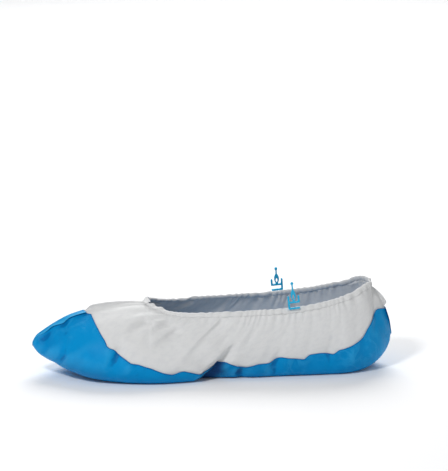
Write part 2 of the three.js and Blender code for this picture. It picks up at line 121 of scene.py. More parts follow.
class Table:
    """Rows of numbers with named columns, read as smooth curves over the first column."""

    def __init__(self, names, rows):
        values = np.array(rows, float)
        self.names = names.split()[1:]
        self.keys = values[:, 0]
        self.values = values[:, 1:]
        secants = np.diff(self.values, axis=0) / np.diff(self.keys)[:, None]
        self.slopes = np.zeros_like(self.values)
        self.slopes[1:-1] = (secants[:-1] + secants[1:]) / 2

    def __call__(self, at):
        at = np.clip(np.asarray(at, float), self.keys[0], self.keys[-1])
        k = np.clip(np.searchsorted(self.keys, at, "right") - 1, 0, len(self.keys) - 2)
        span = (self.keys[k + 1] - self.keys[k])[..., None]
        t = (at - self.keys[k])[..., None] / span
        rise = t * t * (3 - 2 * t)
        found = (1 - rise) * self.values[k] + rise * self.values[k + 1]
        found += span * t * (1 - t) * ((1 - t) * self.slopes[k] - t * self.slopes[k + 1])
        return {name: found[..., n] for n, name in enumerate(self.names)}


# The tables are in millimetres, toe towards -X, as in the part's source.
STATIONS = Table("x keel wide near far edge top shoulder near_film far_film", (
    (-170, 28, 30, 1.2, 1.2, 1, 32, 0.5, 60, 60),
    (-167, 23, 30, 4.5, 4.5, 4.5, 37.5, 0.5, 60, 60),
    (-160, 17.5, 29, 12, 12, 11, 43, 0.45, 60, 60),
    (-150, 12, 27, 23, 23, 20, 49.5, 0.45, 60, 60),
    (-136, 6.2, 25, 37, 37, 28, 57, 0.5, 60, 60),
    (-120, 2, 23, 48, 48, 28, 61.5, 0.62, 60, 60),
    (-100, 0.2, 21, 54.5, 54.5, 24, 65.5, 0.76, 63, 60),
    (-85, 0, 20, 57, 57, 19, 67.5, 0.85, 67, 60),
    (-64, 0, 18, 58, 58.5, 14, 67, 0.85, 65, 60),
    (-42, 0, 18, 56.5, 58.5, 12, 61, 0.6, 61, 61),
    (-8, 0, 20, 51, 57, 12, 59.5, 0.5, 55, 62),
    (28, 0, 22, 46, 53.5, 12, 60, 0.5, 50, 62),
    (65, 0, 23, 43, 49, 12, 61, 0.5, 54, 60),
    (100, 0, 24, 42, 44.5, 12, 65, 0.5, 58, 60),
    (130, 0, 25, 39, 40, 14, 72, 0.55, 60, 60),
    (150, 4, 28, 29, 29.5, 16, 77, 0.65, 60, 60),
    (161, 11, 30, 18, 18, 14, 62, 0.65, 60, 60),
    (167, 19, 31, 8, 8, 7, 46, 0.6, 60, 60),
    (170, 29, 31, 1.2, 1.2, 1, 33, 0.5, 60, 60),
))
SEAMS = Table("girth toe heel toe_reach heel_reach", (
    (0, -170, 170, 8, 8),
    (6, -169, 169.5, 10, 9),
    (15, -163, 168.4, 20, 14),
    (28, -151, 166.6, 36, 24),
    (60, -121, 163.5, 82, 48),
    (90, -92, 157.5, 110, 70),
    (125, -64, 150, 130, 90),
))
FILM_GIRTH = 60
CLOTH_GIRTH = 125
LAP_GIRTH = 48
RIM = {"front": -64, "back": 150, "near": 35, "far": 37, "power": 2.6}
SIDES = {"near": -1, "far": 1}

# Single folds: side, start (x, girth), end (x, girth), width, skew, depth. A negative depth is a dent.
# The skew makes a fold wider towards the heel, or towards the toe where it is negative.
FOLDS = (
    ("near", (-15, 48), (19, 94), 10.5, 0.75, -13),
    ("near", (20, 50), (23, 64), 5, 0.5, -4),
    ("near", (-10, 66), (-28, 82), 7, 0, -2.2),
    ("near", (-6, 92), (-40, 84), 9, 0, 2.4),
    ("near", (7, 62), (27, 86), 8, 0, 3),
    ("near", (3, 116), (-26, 79), 4, 0.5, -3.4),
    ("near", (-39, 101), (-65, 66), 3.6, 0.5, -3.4),
    ("near", (-46, 108), (-72, 67), 3.6, 0.5, -3),
    ("near", (-62, 92), (-85, 69), 3.2, 0.5, -2.6),
    ("near", (-71, 85), (-88, 69), 3, 0.5, -2),
    ("near", (52, 54), (60, 82), 6, 0.4, -2.4),
    ("near", (-94, 60), (-102, 46), 3.6, 0.5, -4.4),
    ("near", (-140, 40), (-146.5, 14), 3.2, -0.4, -3.2),
    ("near", (-153, 26), (-140, 34), 2.8, 0, 1.2),
    ("near", (-118, 63), (-122, 50), 4, 0, -1.2),
    ("near", (-79, 57), (-74, 46), 3, 0.4, -1.3),
    ("near", (-161, 16), (-150, 28), 3, 0, -3.8),
    ("near", (104, 58), (112, 92), 6, 0.4, -1.8),
    ("far", (16, 48), (38, 95), 8, 0.5, -6),
    ("far", (2, 62), (-24, 84), 8, 0, 2.2),
    ("far", (-18, 116), (-60, 66), 4, 0.5, -2.4),
    ("far", (-48, 109), (-94, 64), 4, 0.5, -2.2),
    ("far", (82, 54), (98, 92), 6, 0.4, -2.4),
    ("far", (-146, 26), (-134, 48), 4, 0.4, -1.4),
    ("far", (-100, 59), (-106, 44), 3, 0.4, -2.4),
)

# Edge of the film on each side: x and girth along it.
FILM_EDGE = {
    "near": (
        (-121, 60), (-115, 66), (-109, 61.5), (-103.5, 57), (-101, 57.2), (-97, 58.6), (-92, 57.5),
        (-82, 56.5), (-75, 58.6), (-62, 60.5), (-42, 59.9), (-38, 62.2), (-32, 63.6), (-25, 61.2),
        (-19, 58.5), (-12, 57), (-9, 61), (-5, 66), (-1, 71.5), (3, 68.5), (9, 69.5), (14, 66.5),
        (20, 63), (27, 61.5), (38, 63.8), (50, 61.6), (55, 65.8), (60, 66), (68, 62), (82, 57.5),
        (87, 62.5), (97, 62), (110, 57.5), (115, 61.5), (124, 61), (138, 58), (143, 60.5), (164, 60)),
    "far": (
        (-121, 60), (-116, 63.5), (-109, 58.5), (-104, 57), (-101, 60.5), (-94, 60), (-84, 57.5),
        (-70, 56), (-66, 61), (-58, 62), (-47, 58.5), (-36, 57.5), (-30, 63), (-22, 64), (-10, 61),
        (6, 57), (13, 56.5), (17, 66), (25, 66.5), (34, 62), (48, 59), (53, 62.5), (62, 62), (76, 58.5),
        (83, 58), (87, 63.5), (98, 63), (111, 58.5), (116, 61.5), (127, 61), (139, 58.5), (144, 61),
        (164, 60)),
}

# Grid of the cloth.
COLUMNS = 200  # along each side, from the toe seam to the heel seam
RING = 2 * COLUMNS
FILM_ROWS = 20
UPPER_ROWS = 28
HEM = 0.03  # share of the film's girth that its welded edge takes
MARKS = ("crest", "hollow", "tuck", "hem", "weld")  # what the cloth's points are marked with, from 0 to 1

# Sections and lines of the plain cloth.
SECTION_STEPS = {"flat": 8, "turn": 16, "bend": 32}
SHOULDER_LEAN = 0.12  # share of the way from the widest place to the opening
FILM_LIMIT = 0.62  # most of a section's length that the film takes
SEAM_EASE = 1.7  # the higher, the more steeply a line of the cloth leaves its seam
LINE_POINTS = 181
LEVELS = 25  # lines worked out for the film, and again for the panels
EDGE_PASSES = 12  # to find where the film's edge crosses each column

# Folds and gathers, in millimetres. A pair of numbers says where something comes in and where it is full.
FOLD_SHARPNESS = 1.5
TUCK_GIRTH = (28, 36)
DENT_GIRTH = (34, 46)  # the sole below stays flat
TOE_X = (120, 136)  # the toe is off the floor and takes dents all over
TOE_HEIGHT = (12, 20)
BULGE_HEIGHT = (0.5, 5)
SEAM_COLUMNS = 4  # over which folds and crumples run out towards a seam
RIM_WAVES = ((0.55, 3, 0.4), (0.42, 7, 2.1), (0.3, 13, 0))  # unevenness of the gathers round the rim
GATHER_STRENGTH = 0.8
STRENGTH_WAVES = ((0.3, 0.9, 0), (0.2, 0.37, 1))
GATHER_END = LAP_GIRTH - 6
PLEAT_MEAN = 0.64  # of a rounded pleat, which is laid about it
PLEAT_COLUMNS = (4, 30)  # from a seam
HEEL_CALM = 0.7  # how much of the wider pleats is lost towards the heel
HEEL_CALM_X = (-10, 40)
FINE = {"gathers": 1, "phase": 0, "depth": 1.5, "reach": 15}
MIDDLE = {"gathers": 2, "phase": 0.6, "depth": 2.1, "start": (2, 14), "end": (20, 46), "at_seam": 0.4}
WIDE = {
    "gathers": 4, "phase": 1.9, "depth": 1.3, "start": (10, 30), "end": (36, 72), "fade": 0.8,
    "at_seam": 0.25}

# Crumples, in millimetres.
SIM_SCALE = 0.01  # simulation units for each millimetre
SIM_FRAMES = 30
FULLNESS = 0.35  # share of the sheet's spare length that goes into crumples
LEAST_RISE = 0.01  # square of the least height between two rows of the sheet
NOISE_SEED = 7
NOISE_PASSES = {"along": 6, "up": 4}
START_NOISE = 0.25
LOOSE_HEIGHT = (3, 14)
LEAST_HOLD = 0.01
CRUMPLE_CLOTH = {
    "quality": 6, "mass": 0.25, "tension_stiffness": 20, "compression_stiffness": 20, "shear_stiffness": 4,
    "bending_stiffness": 0.6, "air_damping": 4, "pin_stiffness": 1}
# A dent this deep gets the full painted shade of the film.
DEEP_TUCK = 9  # depth of a dent that counts as a full tuck
SHARP_CREASE = 0.26  # how far a point of a full crease lies off the line between its neighbours

# Seams and trim, in metres.
SEAM_ROOT = 0.2  # half the seam's root as a share of the first column
SEAM_SIGHT = 3  # columns from a seam to the cloth that it is laid towards
SEAM_FOLD = 0.97  # height of the second line along a seam's fold, as a share of the first
FILM_SEAM = {"stand": math.radians(14), "low": 0.3, "girth": (0.004, 0.04)}  # lies on the near side
CLOTH_SEAM = {"stand": math.radians(78), "share": 0.55, "start": (0.5, 3), "end": (4, 24), "fade": 0.85}
PANEL_CLEAR = 0.00006  # from the middle of the seams behind the film
HEM_FLARE = 0.0004
HEM_FLARE_START = 0.8  # share of the film's rows
CASING_SIDES = 14
CASING_LAP = 0.0005  # of the casing over the edge of the panels
CASING_SWELL = 0.0003  # how far the casing's middle lies outside the panels' middle
WELD_CLEAR = 4  # columns without weld points beside a seam
CLIP_VOXEL = 0.00022
CLIP_EASE = {"factor": 0.5, "iterations": 6}
MERGE = 1e-6

# Stage, in metres.
FLOOR_HALF = 6.0
SKY = {"Color": (0.98, 0.99, 1.0, 1), "Strength": 0.38}
LAMPS = (("back", (0.25, 1.25, 1.1), 1.2, 22), ("key", (-0.66, -1.0, 1.15), 0.3, 12))  # place, size, power
LAMP_AIM = Vector((0, 0, 0.03))
AZIMUTH = math.radians(-6.5)
ELEVATION = math.radians(14)
CAMERA_DISTANCE = 6.0
CAMERA_SENSOR = 36
CAMERA_END = 50
PICTURE = (448, 471)
PIXEL = 0.94 * MM
TOE_TIP = Vector((-0.170, 0, 0.029))
TOE_TIP_PIXEL = (32.5, 344.0)


def smoothstep(value, low, high):
    t = np.clip((value - low) / (high - low), 0, 1)
    return t * t * (3 - 2 * t)


def grown(low, share):
    return low + (1 - low) * share


def unit(vectors):
    return vectors / np.maximum(np.linalg.norm(vectors, axis=-1, keepdims=True), 1e-12)


def evened(ring, times=6):
    """Values round a closed ring, each averaged with its neighbours."""
    for _ in range(times):
        ring = (np.roll(ring, 1, axis=0) + 2 * ring + np.roll(ring, -1, axis=0)) / 4
    return ring


def opening_half(x, side):
    """Half the width of the opening at x, which is nothing where the bag is closed to a ridge."""
    middle = (RIM["front"] + RIM["back"]) / 2
    reach = np.abs(x - middle) / ((RIM["back"] - RIM["front"]) / 2)
    return RIM[side] * np.maximum(1 - reach ** RIM["power"], 0) ** (1 / RIM["power"])


def half_sections(x, side):
    """Half sections at each x, from the fold of the sole to the ridge or rim: y, z and length so far."""
    station = {name: value[:, None] for name, value in STATIONS(x).items()}
    wide = station[side]
    edge = np.minimum(station["edge"], wide)
    opening = opening_half(x, side)[:, None]
    flat = np.linspace(0, 1, SECTION_STEPS["flat"] + 1)[:-1]
    turn = np.linspace(0, math.pi / 2, SECTION_STEPS["turn"] + 1)
    bend = np.linspace(0, 1, SECTION_STEPS["bend"] + 1)[1:]
    shoulder_y = wide - (wide - opening) * SHOULDER_LEAN
    shoulder_z = station["wide"] + (station["top"] - station["wide"]) * station["shoulder"]
    leave = (1 - bend) ** 2
    lean = 2 * bend * (1 - bend)
    arrive = bend ** 2
    bend_y = leave * wide + lean * shoulder_y + arrive * opening
    bend_z = leave * station["wide"] + lean * shoulder_z + arrive * station["top"]
    y = np.hstack([flat * (wide - edge), wide - edge + edge * np.sin(turn), bend_y])
    rise = station["wide"] - station["keel"]
    z = np.hstack([station["keel"] + 0 * flat, station["wide"] - rise * np.cos(turn), bend_z])
    run = np.cumsum(np.hypot(np.diff(y, prepend=0), np.diff(z, prepend=station["keel"])), axis=1)
    return y, z, run


def lift_at_seam(away):
    """A line of the cloth leaves a seam steeply and then levels out."""
    return (1 - np.sqrt(np.clip(away, 0, 1))) ** SEAM_EASE


def cloth_line(girth, side):
    """One line of the cloth along one side, as evenly spaced points from seam to seam."""
    seams = SEAMS(girth)
    x = seams["toe"] + (seams["heel"] - seams["toe"]) * (1 - np.cos(np.linspace(0, math.pi, LINE_POINTS))) / 2
    y, z, run = half_sections(x, side)
    film = np.minimum(STATIONS(x)[side + "_film"] / run[:, -1], FILM_LIMIT)
    if girth < FILM_GIRTH:
        level = film * girth / FILM_GIRTH
    else:
        level = film + (1 - film) * (girth - FILM_GIRTH) / (CLOTH_GIRTH - FILM_GIRTH)
    toe = lift_at_seam((x - seams["toe"]) / seams["toe_reach"])
    heel = lift_at_seam((seams["heel"] - x) / seams["heel_reach"])
    share = (level + (1 - level) * np.maximum(toe, heel)) * (girth > 0)
    at = share * run[:, -1]
    points = np.array([
        (x[k], SIDES[side] * np.interp(at[k], run[k], y[k]), np.interp(at[k], run[k], z[k]))
        for k in range(len(x))
    ])
    along = np.cumsum(np.linalg.norm(np.diff(points, axis=0, prepend=points[:1]), axis=1))
    even = np.linspace(0, along[-1], COLUMNS + 1)
    return np.stack([np.interp(even, along, points[:, c]) for c in range(3)], axis=1)


def film_edge(x, side):
    """Girth of the film's edge at each x."""
    places, girths = np.transpose(FILM_EDGE[side])
    return np.interp(x, places, girths)


def fold_depth(x, girth, side):
    """Depth of the single folds at points of the cloth."""
    depth = np.zeros_like(x)
    for fold_side, start, end, width, skew, deepest in FOLDS:
        if fold_side != side:
            continue
        run = np.subtract(end, start)
        share = np.clip(((x - start[0]) * run[0] + (girth - start[1]) * run[1]) / (run @ run), 0, 1)
        heelward = x - start[0] - share * run[0]
        off = np.hypot(heelward, girth - start[1] - share * run[1])
        off /= width * (1 + skew * np.tanh(heelward))
        depth += deepest * (1 - share ** 2) * np.exp(-off ** FOLD_SHARPNESS)
    return depth


def grid_normals(points):
    """Outward directions of a ring grid of points, rows from the sole up."""
    along = np.roll(points, -1, axis=1) - np.roll(points, 1, axis=1)
    up = np.gradient(points, axis=0)
    mirrored = np.roll(points[1][::-1], 1, axis=0)
    up[0] = points[1] - mirrored
    keel = along.copy()
    keel[0, COLUMNS + 1:] *= -1
    normal = unit(np.cross(along, up))
    flat = np.stack([keel[0, :, 2], 0 * keel[0, :, 0], -np.abs(keel[0, :, 0])], axis=1)
    normal[0] = unit(flat)
    for seam in (0, COLUMNS):
        normal[:, seam, 1] = 0
    return unit(normal)


def waved(values, at, waves):
    """Values with waves laid on them, each given by its size, its number and its phase."""
    for size, number, phase in waves:
        values = values + size * np.sin(number * at + phase)
    return values


def gather_count(points):
    """How many gathers of the rim lie before each column of the ring. They are a little uneven."""
    rim = points[-1]
    length = np.cumsum(np.linalg.norm(rim - np.roll(rim, 1, axis=0), axis=1))
    share = (length - length[0]) / length[-1]
    count = round(length[-1] * MM / bpy.context.scene.shoe_cover_sizes.gather_pitch)
    return waved(count * share, 2 * math.pi * share, RIM_WAVES)


def pleats(count, kind):
    """Rounded pleats about their mean, each made of a number of the rim's gathers."""
    return np.abs(np.sin(math.pi * count / kind["gathers"] + kind["phase"])) - PLEAT_MEAN


def gather_relief(points, girth):
    """Gathers below the rim. Fine ones join into wider ones further down, which run out above the film."""
    count = gather_count(points)
    below = CLOTH_GIRTH - girth
    full = smoothstep(seam_distance(), *PLEAT_COLUMNS)
    calm = 1 - HEEL_CALM * smoothstep(points[-1, :, 0], *HEEL_CALM_X)
    fine = pleats(count, FINE) * np.exp(-(below / FINE["reach"]) ** 2)
    middle = pleats(count, MIDDLE) * smoothstep(below, *MIDDLE["start"])
    middle = middle * (1 - smoothstep(below, *MIDDLE["end"]))
    wide = pleats(count, WIDE) * smoothstep(below, *WIDE["start"])
    wide = wide * (1 - WIDE["fade"] * smoothstep(below, *WIDE["end"])) * grown(WIDE["at_seam"], full)
    wider = MIDDLE["depth"] * middle * grown(MIDDLE["at_seam"], full) + WIDE["depth"] * wide
    strength = waved(GATHER_STRENGTH, count, STRENGTH_WAVES)
    return strength * (FINE["depth"] * fine + calm * wider) * (girth > GATHER_END)


def seam_distance():
    """Columns from each ring column to the nearer seam."""
    column = np.arange(RING)
    column = np.minimum(column, RING - column)
    return np.minimum(column, COLUMNS - column)


def plain_cloth():
    """The cloth before it crumples, in millimetres: points by row and ring column, and their girth."""
    levels = np.r_[np.linspace(0, FILM_GIRTH, LEVELS), np.linspace(FILM_GIRTH, CLOTH_GIRTH, LEVELS)[1:]]
    lines = {side: np.array([cloth_line(girth, side) for girth in levels]) for side in SIDES}
    surface = np.concatenate([lines["near"], lines["far"][:, COLUMNS - 1:0:-1]], axis=1)
    film_top = np.full(RING, float(FILM_GIRTH))
    for _ in range(EDGE_PASSES):
        x = np.array([np.interp(film_top[i], levels, surface[:, i, 0]) for i in range(RING)])
        film_top[:COLUMNS + 1] = film_edge(x[:COLUMNS + 1], "near")
        film_top[COLUMNS + 1:] = film_edge(x[COLUMNS + 1:], "far")
    up_film = np.r_[np.linspace(0, 1 - HEM, FILM_ROWS), 1][:, None] * film_top
    up_cloth = film_top + np.linspace(0, 1, UPPER_ROWS + 1)[1:, None] * (CLOTH_GIRTH - film_top)
    girth = np.vstack([up_film, up_cloth])
    points = np.stack([
        np.stack([np.interp(girth[:, i], levels, surface[:, i, c]) for c in range(3)], axis=1)
        for i in range(RING)
    ], axis=1)
    return points, girth


def folded_cloth():
    """The cloth with its single folds and gathers, and how deep each point would lie in a tuck, which sets
    where the film gets painted shade.
    """
    points, girth = plain_cloth()
    normals = grid_normals(points)
    relief = gather_relief(points, girth)
    for part, side in ((slice(0, COLUMNS + 1), "near"), (slice(COLUMNS + 1, RING), "far")):
        relief[:, part] += fold_depth(points[:, part, 0], girth[:, part], side)
    tuck = -relief * smoothstep(girth, *TUCK_GIRTH)
    turned_up = smoothstep(-points[..., 0], *TOE_X) * smoothstep(points[..., 2], *TOE_HEIGHT)
    dents = np.maximum(smoothstep(girth, *DENT_GIRTH), turned_up)
    free = np.where(relief > 0, smoothstep(points[..., 2], *BULGE_HEIGHT), dents)
    relief *= free * np.minimum(seam_distance() / SEAM_COLUMNS, 1)
    points = points + normals * relief[..., None]
    points[..., 2] = np.maximum(points[..., 2], 0)
    return points, girth, tuck


def rest_sheet(points):
    """The sheet before it was gathered, as a tube with the rows' spare length."""
    ring = np.linalg.norm(np.roll(points, -1, axis=1) - points, axis=2).sum(axis=1)
    sheet = 2 * bpy.context.scene.shoe_cover_sizes.sheet_length / MM
    spare = np.maximum(sheet / ring - 1, 0) * FULLNESS
    radius = ring * (1 + spare) / (2 * math.pi)
    radius[:FILM_ROWS // 2] = radius[FILM_ROWS // 2]
    step = np.linalg.norm(np.diff(points, axis=0), axis=2)
    lean = np.diff(radius)[:, None]
    rise = np.sqrt(np.maximum(step ** 2 - lean ** 2, LEAST_RISE))
    height = np.vstack([np.zeros(RING), np.cumsum(rise, axis=0)])
    angle = 2 * math.pi * np.arange(RING) / RING
    x = radius[:, None] * np.cos(angle)
    y = radius[:, None] * np.sin(angle)
    return np.stack([x, y, height], axis=2)


def soft_noise(shape):
    """Smooth random heights over the cloth, with a standard deviation of 1."""
    noise = np.random.default_rng(NOISE_SEED).normal(size=shape)
    for _ in range(NOISE_PASSES["along"]):
        noise = (noise + np.roll(noise, 1, 1) + np.roll(noise, -1, 1)) / 3
        for _ in range(NOISE_PASSES["up"]):
            noise = (noise + np.roll(noise, 1, 0) + np.roll(noise, -1, 0)) / 3
    return noise / noise.std()


def simulated(start, sheet, loose):
    """The cloth after a simulation that pulls it towards the lengths of the sheet where it is loose."""
    rows = len(start)
    index = np.arange(rows * RING).reshape(rows, RING)
    following = np.roll(index, -1, axis=1)
    faces = np.stack([index[:-1], following[:-1], following[1:], index[1:]], axis=2).reshape(-1, 4)
    mesh = bpy.data.meshes.new("crumple_run")
    mesh.from_pydata((start * SIM_SCALE).reshape(-1, 3).tolist(), [], faces.tolist())
    run = linked("crumple_run", mesh)
    run.shape_key_add(name="open")
    rest = run.shape_key_add(name="sheet")
    rest.data.foreach_set("co", (sheet * SIM_SCALE).ravel())
    held = run.vertex_groups.new(name="held")
    for vertex, weight in enumerate((1 - loose).ravel()):
        if weight > LEAST_HOLD:
            held.add([vertex], float(weight), "REPLACE")
    cloth = run.modifiers.new("crumple", "CLOTH")
    for name, value in CRUMPLE_CLOTH.items():
        setattr(cloth.settings, name, value)
    cloth.settings.rest_shape_key = rest
    cloth.settings.vertex_group_mass = held.name
    cloth.settings.effector_weights.gravity = 0
    cloth.collision_settings.use_collision = False
    cloth.point_cache.frame_start = 1
    cloth.point_cache.frame_end = SIM_FRAMES
    scene = bpy.context.scene
    for step in range(1, SIM_FRAMES + 1):
        scene.frame_set(step)
    moved = np.zeros(rows * RING * 3)
    solved = run.evaluated_get(bpy.context.evaluated_depsgraph_get())
    solved.data.vertices.foreach_get("co", moved)
    scene.frame_set(1)
    bpy.data.objects.remove(run)
    bpy.data.meshes.remove(mesh)
    return moved.reshape(start.shape) / SIM_SCALE


def crumpled(points):
    """The cloth with its spare length turned into crumples, held at the sole, the rim and the seams."""
    loose = smoothstep(points[..., 2], *LOOSE_HEIGHT) * np.minimum(seam_distance() / SEAM_COLUMNS, 1)
    loose[-1] = 0
    noise = soft_noise(points.shape[:2])
    start = points + grid_normals(points) * (START_NOISE * noise * loose)[..., None]
    shift = simulated(start, rest_sheet(points), loose) - points
    far = np.linalg.norm(shift, axis=2, keepdims=True)
    limit = bpy.context.scene.shoe_cover_sizes.crumple_limit / MM
    shift *= limit * np.tanh(far / limit) / np.maximum(far, 1e-9)
    done = points + shift * loose[..., None]
    done[..., 2] = np.maximum(done[..., 2], 0)
    return done


@functools.cache
def draped_cloth():
    """The finished shape of the cloth in metres, with its outward directions, girth and marks."""
    points, girth, tuck = folded_cloth()
    points = crumpled(points)
    normals = grid_normals(points)
    bend = np.roll(points, 1, 1) + np.roll(points, -1, 1) - 2 * points
    curl = (bend * normals).sum(axis=2) / SHARP_CREASE
    curl = evened(curl.T, 1).T
    curl[1:-1] = (curl[:-2] + 2 * curl[1:-1] + curl[2:]) / 4
    # How deep each dent is, from 0 to 1, sets the film's painted shade there.
    tuck = np.clip(tuck / DEEP_TUCK, 0, 1)
    # The film's top row is marked for a painted shade line along its edge.
    hem = np.zeros_like(curl)
    hem[FILM_ROWS] = 1
    # Concave hollows are marked for painted shade, convex crests for pale stretch with painted highlight.
    marks = np.stack([np.clip(-curl, 0, 1), np.clip(curl, 0, 1), tuck, hem, 0 * hem], axis=2)
    return points * MM, normals, girth * MM, marks


def with_seams(grid):
    """The two sides of a ring grid, with two more columns at each end, where the welded seam has its root."""
    parts = []
    for start in (0, COLUMNS):
        side = grid[:, [(start + n) % RING for n in range(COLUMNS + 1)]]
        first = side[:, :1] + (side[:, 1:2] - side[:, :1]) * SEAM_ROOT
        last = side[:, -1:] + (side[:, -2:-1] - side[:, -1:]) * SEAM_ROOT
        columns = [side[:, :1], first, first, side[:, 1:-1], last, last, side[:, -1:]]
        parts.append(np.concatenate(columns, axis=1))
    return parts


def shell(name, outer, inner, uv, marks, closed):
    """Wall between two grids of points. A closed one is a whole ring that starts at the fold of the sole."""
    rows, columns = outer.shape[:2]
    if closed:
        columns -= 1
    number = np.arange(rows * columns).reshape(rows, columns)
    if closed:
        half = columns // 2
        number[0, half + 1:] = number[0, 1:half][::-1]
        number = np.concatenate([number, number[:, :1]], axis=1)
    back = number + rows * columns
    steps = number.shape[1] - 1
    corner = np.arange(rows * (steps + 1)).reshape(rows, steps + 1)

    def quads(a, flip):
        ring = [a[:-1, :-1], a[:-1, 1:], a[1:, 1:], a[1:, :-1]]
        return np.stack(ring[::-1] if flip else ring, axis=2).reshape(-1, 4)

    def strip(a, b):
        return np.stack([a[:-1], a[1:], b[1:], b[:-1]], axis=1)

    faces = [quads(number, False), quads(back, True), strip(number[-1], back[-1])]
    corners = [quads(corner, False), quads(corner, True), strip(corner[-1], corner[-1])]
    if not closed:
        faces += [strip(back[0], number[0]), strip(back[:, 0], number[:, 0])[:, ::-1]]
        faces += [strip(number[:, -1], back[:, -1])[:, ::-1]]
        corners += [strip(corner[0], corner[0]), strip(corner[:, 0], corner[:, 0])]
        corners += [strip(corner[:, -1], corner[:, -1])]
    faces = np.concatenate(faces)
    corners = np.concatenate(corners)
    points = np.concatenate([outer[:, :columns].reshape(-1, 3), inner[:, :columns].reshape(-1, 3)])
    used, compact = np.unique(faces, return_inverse=True)
    faces = compact.reshape(faces.shape)
    mesh = bpy.data.meshes.new(name)
    mesh.from_pydata(points[used].tolist(), [], faces.tolist())
    layer = mesh.uv_layers.new(name="sheet")
    layer.data.foreach_set("uv", uv.reshape(-1, 2)[corners.ravel()].ravel())
    for n, mark in enumerate(MARKS):
        values = np.tile(marks[:, :columns, n].ravel(), 2)[used]
        mesh.attributes.new(mark, "FLOAT", "POINT").data.foreach_set("value", values)
    return mesh


def linked(name, data):
    """A new object in the scene."""
    made = bpy.data.objects.new(name, data)
    bpy.context.scene.collection.objects.link(made)
    return made


def applied(name, mesh, modify):
    """What becomes of a mesh under the modifiers that modify() gives to its object."""
    source = linked(name + "_cage", mesh)
    modify(source)
    made = bpy.data.meshes.new_from_object(source.evaluated_get(bpy.context.evaluated_depsgraph_get()))
    source.modifiers.clear()
    bpy.data.objects.remove(source)
    bpy.data.meshes.remove(mesh)
    return made


def subdivide(source):
    smooth = source.modifiers.new("smooth", "SUBSURF")
    smooth.levels = 1
    smooth.render_levels = 1


def finished(name, mesh, material):
    """A smooth object of the mesh with its material."""
    mesh.name = name
    mesh.materials.clear()
    mesh.materials.append(material)
    mesh.polygons.foreach_set("use_smooth", np.ones(len(mesh.polygons), bool))
    return linked(name, mesh)


def placed(piece, slot, *nodes):
    """Ties a finished piece to the frame."""
    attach(piece, BODY)
    if nodes:
        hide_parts(*nodes)


class Wire:
    """A socket of a node tree. Arithmetic on it adds Math nodes."""

    def __init__(self, nodes, socket):
        self.nodes = nodes
        self.socket = socket

    def output(self, key):
        """Another output of the same node."""
        return Wire(self.nodes, self.socket.node.outputs[key])

    def __add__(self, other):
        return self.nodes.math("ADD", self, other)

    __radd__ = __add__

    def __sub__(self, other):
        return self.nodes.math("SUBTRACT", self, other)

    def __rsub__(self, other):
        return self.nodes.math("SUBTRACT", other, self)

    def __mul__(self, other):
        return self.nodes.math("MULTIPLY", self, other)

    __rmul__ = __mul__

    def __truediv__(self, other):
        return self.nodes.math("DIVIDE", self, other)

    def __rtruediv__(self, other):
        return self.nodes.math("DIVIDE", other, self)

    def __abs__(self):
        return self.nodes.math("ABSOLUTE", self)


class Nodes:
    """A node tree under construction, with one method that adds a node."""

    def __init__(self, tree):
        self.tree = tree

    def add(self, kind, settings=None, inputs=None, output=0):
        node = self.tree.nodes.new(kind)
        for key, value in (settings or {}).items():
            setattr(node, key, value)
        self.fill(node, inputs or {})
        return Wire(self, node.outputs[output])

    def fill(self, node, inputs):
        for key, value in inputs.items():
            if isinstance(value, Wire):
                self.tree.links.new(value.socket, node.inputs[key])
            else:
                node.inputs[key].default_value = value

    def math(self, operation, *values):
        return self.add("ShaderNodeMath", {"operation": operation}, dict(enumerate(values)))


class Finish(Nodes):
    """A material under construction."""

    def __init__(self, name):
        self.material = bpy.data.materials.new(name)
        self.material.use_nodes = True
        super().__init__(self.material.node_tree)
        self.shader = self.tree.nodes["Principled BSDF"]

    def surface(self, **inputs):
        self.fill(self.shader, {key.replace("_", " "): value for key, value in inputs.items()})
        return self.material

    def sheet(self):
        """Place on the flat sheet, in metres."""
        return self.add("ShaderNodeUVMap", {"uv_map": "sheet"})

    def place(self):
        return self.add("ShaderNodeTexCoord", {}, {}, "Object")

    def mark(self, name):
        return self.add("ShaderNodeAttribute", {"attribute_name": name}, {}, "Fac")

    def parts(self, vector):
        split = self.add("ShaderNodeSeparateXYZ", {}, {0: vector})
        return [split.output(n) for n in range(3)]

    def stretched(self, vector, angle, scale):
        return self.add("ShaderNodeMapping", {}, {
            "Vector": vector, "Rotation": (0, 0, angle), "Scale": scale})

    def noise(self, vector, scale, detail=2.0, rough=0.5, distortion=0.0):
        return self.add("ShaderNodeTexNoise", {}, {
            "Vector": vector, "Scale": scale, "Detail": detail, "Roughness": rough, "Distortion": distortion})

    def cells(self, vector, scale):
        return self.add("ShaderNodeTexVoronoi", {"feature": "DISTANCE_TO_EDGE"}, {
            "Vector": vector, "Scale": scale})

    def step(self, value, low, high):
        return self.add("ShaderNodeMapRange", {"interpolation_type": "SMOOTHSTEP"}, {
            "Value": value, "From Min": low, "From Max": high})

    def blend(self, factor, first, second):
        ends = [tuple(c) + (1,) if not isinstance(c, Wire) else c for c in (first, second)]
        return self.add("ShaderNodeMix", {"data_type": "RGBA"}, {0: factor, 6: ends[0], 7: ends[1]}, 2)

    def bump(self, height, distance, strength, below=None):
        inputs = {"Height": height, "Distance": distance, "Strength": strength}
        if below is not None:
            inputs["Normal"] = below
        return self.add("ShaderNodeBump", {}, inputs)


